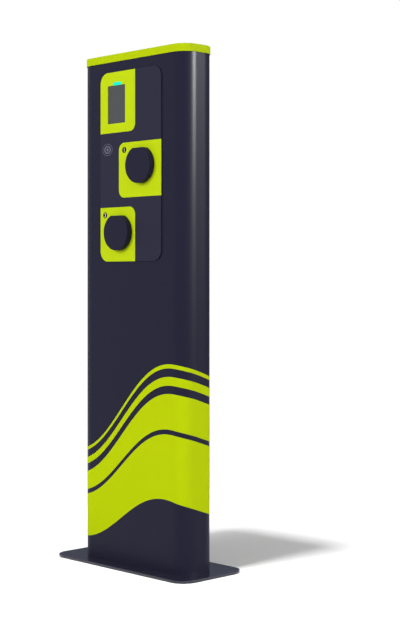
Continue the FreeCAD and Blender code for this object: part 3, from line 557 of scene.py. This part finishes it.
# ---- card reader ----
# The reader's black polyamide case sits behind the cover, and a plain mark of two oval rings and a spot is
# screen printed over it in grey ink.
dress(black_polyamide, "card_reader")
grey_ink = ink("grey_screen_ink", "#68677a", 0.06)
cover_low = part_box("fascia_cover")[0]
INK = 0.12 * MM


def oval_ring(x, z, inner, outer, face, thickness, wide=1.25, sides=96):
    """A flat ring that faces -Y, wide times as wide as high, with inner and outer as its half heights."""
    turn = np.linspace(0, 2 * np.pi, sides, endpoint=False)
    section = [(inner, face), (inner, face - thickness), (outer, face - thickness), (outer, face)]
    r, y = np.array(section).T
    across, up = x + wide * np.cos(turn)[:, None] * r, z + np.sin(turn)[:, None] * r
    return grid_shape(np.stack([across, np.repeat(y[None], sides, 0), up], -1), around=True, along=True)


mark_x, mark_z = cover_low.x + 34 * MM, cover_low.z + 353 * MM
rings = [(17.6 * MM, 18.8 * MM), (8.5 * MM, 12.5 * MM)]
marks = [oval_ring(mark_x, mark_z, inner, outer, cover_low.y, INK) for inner, outer in rings]
marks.append(turned_y(mark_x, mark_z, [(5 * MM, cover_low.y), (5 * MM, cover_low.y - INK)], 48))
piece("reader_ring_mark", joined(marks), grey_ink, "post")

# ---- controller ----
# A grey polyamide box behind the display, closed with four screws. Rubber-sheathed leads leave its lower
# ports for the card reader, both lock motors and the power supply, and one runs from its top to the antenna.
dress(mid_polyamide, "controller_box")
sheath = grained("cable_sheath_rubber", "#1b1b1d", 1.5 * MM, 0.02 * MM, 0.6, specular=0.3)
case_low, case_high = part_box("controller_box")
PORT_FIRST, PORT_PITCH, PORT_BACK = 23 * MM, 24 * MM, 21 * MM
port_y = case_high.y - PORT_BACK
ports = [(case_low.x + PORT_FIRST + PORT_PITCH * k, port_y, case_low.z + 4 * MM) for k in range(4)]
LEAD_R = 2.2 * MM
AERIAL_R = 1.6 * MM


def middle_of(node):
    """The centre of a node's box."""
    low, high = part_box(node)
    return (low.x + high.x) / 2, (low.y + high.y) / 2, (low.z + high.z) / 2


reader_x, _, reader_z = middle_of("card_reader")
reader_back = (reader_x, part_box("card_reader")[1].y - 1 * MM, reader_z)
leads = [wire(ports[1], reader_back, (0, 0, -50 * MM), (0, 45 * MM, 0), LEAD_R)]
for port, number, drop in ((ports[3], 1, 60 * MM), (ports[2], 2, 140 * MM)):
    motor_low, motor_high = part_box(f"lock_actuator_{number}")
    top = (middle_of(f"lock_actuator_{number}")[0], motor_low.y + 14 * MM, motor_high.z - 1 * MM)
    leads.append(wire(port, top, (0, 0, -drop), (0, 0, drop), LEAD_R))
supply_way, port_way = (-20 * MM, 30 * MM, 160 * MM), (-30 * MM, 0, -220 * MM)
leads.append(wire(terminal("power_supply", 1, True), ports[0], supply_way, port_way, LEAD_R, samples=48))
antenna_x, antenna_y, _ = middle_of("antenna")
mast = (antenna_x, antenna_y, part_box("antenna")[0].z + 1 * MM)
aerial = (case_high.x - 18 * MM, port_y, case_high.z - 1 * MM)
leads.append(wire(mast, aerial, (0, 0, -40 * MM), (0, 0, 40 * MM), AERIAL_R))
piece("controller_leads", joined(leads), sheath, "post", sharp=60)
case_screws = [
    socket_screw(x, case_high.y, z, 2.6 * MM, 1.5 * MM)
    for x in (case_low.x + 7 * MM, case_high.x - 7 * MM)
    for z in (case_low.z + 8 * MM, case_high.z - 8 * MM)
]
piece("controller_screws", joined(case_screws), zinc, "post")

# ---- sockets ----
# Black glass-filled polyamide housings and bodies with silver-plated contacts. A small motor drives the
# steel pin that locks the plug, four screws hold each flange, and a sprung ASA lid covers each mouth.
silver = plated("silver_plate", "#d9d8d3", 0.25, spangle=3 * MM)
rubber = grained("epdm_rubber", "#1a1a1b", 1.0 * MM, 0.02 * MM, 0.75, specular=0.3)
lid_asa = grained(
    "blue_black_lid_asa",
    "#222133",
    grain=1.4 * MM,
    depth=0.012 * MM,
    roughness=0.45,
    specular=0.06,
    spread=0.03,
    tone=0.03,
)
pale_ink = ink("pale_screen_ink", "#f6f8e0", 0.06)
BADGE_R = 9.6 * MM
# A round badge numbers each socket, off the middle of its lid in X and above the lid's foot in Z.
badge_offsets = {1: (-82.3 * MM, 108 * MM), 2: (-71.5 * MM, 112.5 * MM)}
for number, (dx, dz) in badge_offsets.items():
    x, z = middle_of(f"lid_{number}")[0] + dx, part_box(f"lid_{number}")[0].z + dz
    profile = [(BADGE_R, cover_low.y), (BADGE_R, cover_low.y - INK)]
    piece(f"badge_{number}", turned_y(x, z, profile, 48), black_ink, "post")
    figure = numeral(str(number), x, z, 1.3 * BADGE_R, cover_low.y - INK, INK)
    piece(f"badge_figure_{number}", figure, pale_ink, "post")
    dress(black_polyamide, f"socket_body_{number}", f"socket_housing_{number}", f"lock_actuator_{number}")
    dress(lid_asa, f"lid_{number}")
    dress(bright_steel, f"lid_pin_{number}", f"lid_spring_{number}", f"lock_pin_{number}")
    dress(rubber, f"lid_seal_{number}")
    housing_low, housing_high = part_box(f"socket_housing_{number}")
    flange_screws = [
        socket_screw(x, housing_low.y + 10 * MM, z, 3.5 * MM)
        for x in (housing_low.x + 8 * MM, housing_high.x - 8 * MM)
        for z in (housing_low.z + 8 * MM, housing_high.z - 8 * MM)
    ]
    piece(f"socket_flange_screws_{number}", joined(flange_screws), zinc, "post")
dress(silver, "socket_contacts")
dress(sheath, "socket_cables")

# ---- service door ----
# A folded sheet-steel door in the pillar's colour on three lift-off hinges, closed by two quarter-turn locks
# on a zinc-plated frame with a rubber gasket, and with filter mats behind its vents.
filter_mat = grained("polyester_filter_mat", "#6b6d6a", 1.6 * MM, 0.5 * MM, 0.95, tone=0.2, patch=0.02)
dress(zinc, "door_frame", "door_hinge_posts", "door_hinge_leaves", "door_lock_lower", "door_lock_upper")
dress(rubber, "door_gasket")
dress(filter_mat, "vent_filters")

# ---- hinge screws ----
# Two bright steel countersunk screws, nearly flush, hold each leaf of the three hinges. Those of the fixed
# leaves stay on the pillar, and those of the moving leaves swing with the door.
posts_low, posts_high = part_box("door_hinge_posts")
leaves_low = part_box("door_hinge_leaves")[0]
hinge_zs = np.linspace(posts_low.z + 30 * MM, posts_high.z - 30 * MM, 3)
leaf_face = posts_low.y + 2 * MM
sets = {
    "hinge_post_screws": (posts_high.x - 8 * MM, "post"),
    "hinge_leaf_screws": (leaves_low.x + 8 * MM, "rear_door"),
}
for name, (x, body) in sets.items():
    screws = [
        socket_screw(x, leaf_face, z + dz, 3.2 * MM, 0.9 * MM)
        for z in hinge_zs
        for dz in (-18 * MM, 18 * MM)
    ]
    piece(name, joined(screws), bright_steel, body)

# ---- warning sign ----
# A printed polyester label on the door: a black triangle, a yellow one inside it, and a black zigzag in the
# middle that warns of live parts. Each layer is drawn as thick as the ink.
yellow_ink = ink("yellow_screen_ink", "#e9b913", 0.1)
door_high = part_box("rear_door")[1]
SIGN_Z = 1240 * MM
SIGN_REACH = 44 * MM
FIELD_REACH = 37 * MM


def flat_sign(outline, face, thickness):
    """A flat shape that faces +Y, from its outline of (x, z) points round its middle."""
    rows = [[(x, y, SIGN_Z + z) for x, z in outline] for y in (face, face + thickness)]
    return grid_shape(np.array(rows, float), around=True, caps=True)


def triangle(reach):
    """Corners of an upright triangle whose corners lie reach from its middle."""
    return [(reach * math.sin(a), reach * math.cos(a)) for a in (0, math.tau / 3, 2 * math.tau / 3)]


# The zigzag's corners in metres, from the middle of the sign.
zigzag = [(0.003, 0.022), (-0.008, 0.0), (-0.001, 0.002), (-0.004, -0.014), (0.008, 0.006), (0.001, 0.004)]
layers = {
    "sign_rim": (triangle(SIGN_REACH), black_ink, "black_plastic"),
    "sign_field": (triangle(FIELD_REACH), yellow_ink, "white_plastic"),
    "sign_zigzag": (zigzag, black_ink, "black_plastic"),
}
for k, (name, (outline, printed, slot)) in enumerate(layers.items()):
    piece(name, flat_sign(outline, door_high.y + k * INK, INK), printed, "rear_door")

# ---- lime decor film ----
# Cut vinyl film round the front and sides of the lower pillar: a broad band that rises from the left to the
# right, split by a narrow gap, with two thinner lines that follow it above. Film is drawn 0.25 mm thick.
shell_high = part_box("post_shell")[1]
CORNER = 48 * MM
FILM = 0.25 * MM
flat_half = shell_high.x - CORNER
side_half = shell_high.y - CORNER
corner_start, corner_end = flat_half, flat_half + CORNER * math.pi / 2
rear_start = corner_end + 2 * side_half
rear_end = rear_start + CORNER * math.pi / 2


def pillar_point(s, z, lift):
    """Point at arc length s round the pillar, 0 in the middle of the front and growing to the right.

    It follows the flat front, the round corner, the flat side and the round rear corner, lift off the sheet.
    """
    a = np.abs(s)
    front = np.clip((a - corner_start) / CORNER, 0, math.pi / 2)
    rear = np.clip((a - rear_start) / CORNER, 0, math.pi / 2)
    along_side = np.clip(a - corner_end, 0, 2 * side_half)
    turn = front + rear
    x = np.minimum(a, flat_half) + (CORNER + lift) * np.sin(turn)
    y = -side_half + along_side - (CORNER + lift) * np.cos(turn)
    return np.stack([np.sign(s) * x, y, z], -1)


def rise(s, low, high):
    """Smooth climb from low at the left rear corner to high at the right one: 3 t^2 - 2 t^3."""
    t = np.clip((s + rear_end) / (2 * rear_end), 0, 1)
    return low + (high - low) * t * t * (3 - 2 * t)


def film(lower, upper, steps=260):
    """A strip of film between two heights that depend on the arc length, closed round its thin rim."""
    s = np.linspace(-rear_end, rear_end, steps)
    loops = [(lower(s), 0), (lower(s), FILM), (upper(s), FILM), (upper(s), 0)]
    return grid_shape(np.stack([pillar_point(s, z, lift) for z, lift in loops], 1), around=True, caps=True)


def wave(s, height, length, start):
    """A sine of the arc length: height * sin(2 pi (s - start) / length)."""
    return height * np.sin(2 * math.pi * (s - start) / length)


lime_film = grained(
    "lime_vinyl_film",
    "#bbd00c",
    grain=4 * MM,
    depth=0.004 * MM,
    roughness=0.6,
    specular=0.005,
    spread=0.03,
    tone=0.02,
    patch=0.4,
)


LEFT_FOOT, RIGHT_FOOT = 100 * MM, 300 * MM
WAVE_LENGTH, WAVE_START = 620 * MM, -50 * MM


def band_edge(offset, swing):
    """An edge of the design: its climb, plus a wave of the design's own length."""
    low, high = LEFT_FOOT + offset[0], RIGHT_FOOT + offset[1]
    return lambda s: rise(s, low, high) + wave(s, swing, WAVE_LENGTH, WAVE_START)


# Each strip's lower and then upper edge, as the offsets of its two feet and its swing, in metres.
edges = {
    "broad_band": ((0.0, -0.09), 0.045, (0.13, 0.12), 0.05),
    "upper_band": ((0.145, 0.135), 0.05, (0.20, 0.25), 0.055),
    "wide_line": ((0.225, 0.275), 0.055, (0.245, 0.302), 0.056),
    "fine_line": ((0.27, 0.327), 0.057, (0.28, 0.339), 0.058),
}
for name, (low_at, low_swing, high_at, high_swing) in edges.items():
    strip = film(band_edge(low_at, low_swing), band_edge(high_at, high_swing))
    piece(f"lime_{name}", strip, lime_film, "post")

# ---- studio ----
# A pale floor that bounces little light and turns to plain white away from the object, in a white surround.
# Two broad soft lights face the front and the right side, a tall strip edges the round corner, and a high
# lamp gives the floor its shadow.


def seen_directly(tree):
    """1 for camera, glossy and transmission rays, and 0 for the rays that carry diffuse light."""
    path = add(tree, "ShaderNodeLightPath")
    camera_ray, glossy_ray = path.outputs["Is Camera Ray"], path.outputs["Is Glossy Ray"]
    seen = add(tree, "ShaderNodeMath", {0: camera_ray, 1: glossy_ray}, operation="MAXIMUM").outputs[0]
    through = path.outputs["Is Transmission Ray"]
    return add(tree, "ShaderNodeMath", {0: seen, 1: through}, operation="MAXIMUM").outputs[0]


floor_finish, tree = blank_material("studio_floor")
place = add(tree, "ShaderNodeTexCoord").outputs["Object"]
distance = add(tree, "ShaderNodeVectorMath", {0: place}, operation="LENGTH")
fade = add(
    tree,
    "ShaderNodeMapRange",
    {"Value": distance.outputs["Value"], "From Min": 1.0, "From Max": 2.2},
    interpolation_type="SMOOTHSTEP",
)
matt = add(tree, "ShaderNodeBsdfDiffuse", {"Color": (0.7, 0.7, 0.7, 1.0)})
bounce = add(tree, "ShaderNodeBsdfDiffuse", {"Color": (0.3, 0.3, 0.3, 1.0)})
white = add(tree, "ShaderNodeEmission", {"Strength": 1.0})
spread = add(tree, "ShaderNodeMixShader", {0: fade.outputs[0], 1: matt.outputs[0], 2: white.outputs[0]})
sides = {0: seen_directly(tree), 1: bounce.outputs[0], 2: spread.outputs[0]}
shown = add(tree, "ShaderNodeMixShader", sides)
add(tree, "ShaderNodeOutputMaterial", {"Surface": shown.outputs[0]})
FLOOR_HALF = 14.0
floor_mesh = bpy.data.meshes.new("floor")
corners = [(FLOOR_HALF * x, FLOOR_HALF * y, 0) for x, y in ((-1, -1), (1, -1), (1, 1), (-1, 1))]
floor_mesh.from_pydata(corners, [], [[0, 1, 2, 3]])
floor_mesh.materials.append(floor_finish)
floor = bpy.data.objects.new("floor", floor_mesh)
bpy.context.scene.collection.objects.link(floor)

world = bpy.data.worlds.new("studio")
bpy.context.scene.world = world
world.use_nodes = True
tree = world.node_tree
tree.nodes.clear()
strength = add(tree, "ShaderNodeMapRange", {"Value": seen_directly(tree), "To Min": 0.5, "To Max": 1.0})
surround = add(tree, "ShaderNodeBackground", {"Color": (1, 1, 1, 1), "Strength": strength.outputs[0]})
add(tree, "ShaderNodeOutputWorld", {"Surface": surround.outputs[0]})


def area_light(name, place, target, width, height, power, in_gloss=False, in_matt=True):
    """A rectangular soft light at place that faces target, for glossy rays, diffuse rays or both."""
    light = bpy.data.lights.new(name, "AREA")
    light.shape = "RECTANGLE"
    light.size, light.size_y, light.energy = width, height, power
    lamp = bpy.data.objects.new(name, light)
    bpy.context.scene.collection.objects.link(lamp)
    lamp.location = place
    aim = np.array(target) - np.array(place)
    tilt = math.atan2(math.hypot(aim[0], aim[1]), -aim[2])
    lamp.rotation_euler = (tilt, 0, math.atan2(-aim[0], aim[1]))
    lamp.visible_glossy, lamp.visible_diffuse = in_gloss, in_matt
    return lamp


area_light("front", (-1.6, -7.0, 3.6), (0, 0, 0.8), 3.4, 3.4, 328)
area_light("side", (6.45, 0.3, 3.4), (0, 0, 0.8), 3.2, 3.2, 215)
area_light("strip", (2.98, 1.17, 2.6), (0.24, 0, 1.3), 0.5, 1.5, 900, in_gloss=True, in_matt=False)
floor_key = area_light("floor_key", (0, -4.3, 13.0), (0, 0, 0), 1.3, 1.3, 2150)
floor_only = bpy.data.collections.new("floor_only")
floor_only.objects.link(floor)
floor_key.light_linking.receiver_collection = floor_only

# A dark grey-blue card behind the object, seen only in reflections, keeps the pillar's round edges dark.
flag_coat, tree = blank_material("dark_flag")
dusk = add(tree, "ShaderNodeEmission", {"Color": (0.15, 0.165, 0.215, 1.0), "Strength": 1.0})
add(tree, "ShaderNodeOutputMaterial", {"Surface": dusk.outputs[0]})
flag_mesh = bpy.data.meshes.new("flag")
flag_feet = [(-4.4, 0.7), (-0.4, 4.6), (2.9, 3.3)]
flag_points = [(x, y, z) for z in (0.02, 3.4) for x, y in flag_feet]
flag_mesh.from_pydata(flag_points, [], [[0, 1, 4, 3], [1, 2, 5, 4]])
flag_mesh.materials.append(flag_coat)
flag = bpy.data.objects.new("flag", flag_mesh)
bpy.context.scene.collection.objects.link(flag)
flag.visible_camera = flag.visible_diffuse = flag.visible_shadow = flag.visible_transmission = False

camera_data = bpy.data.cameras.new("camera")
camera = bpy.data.objects.new("camera", camera_data)
bpy.context.scene.collection.objects.link(camera)
camera.location = (3.2102, -2.8971, 0.8914)
camera.rotation_euler = (math.radians(90), 0, math.radians(45.72))
camera_data.sensor_width = 36
camera_data.lens = 77.25
camera_data.shift_y = -0.0635
bpy.context.scene.camera = camera
bpy.context.scene.view_settings.view_transform = "Standard"
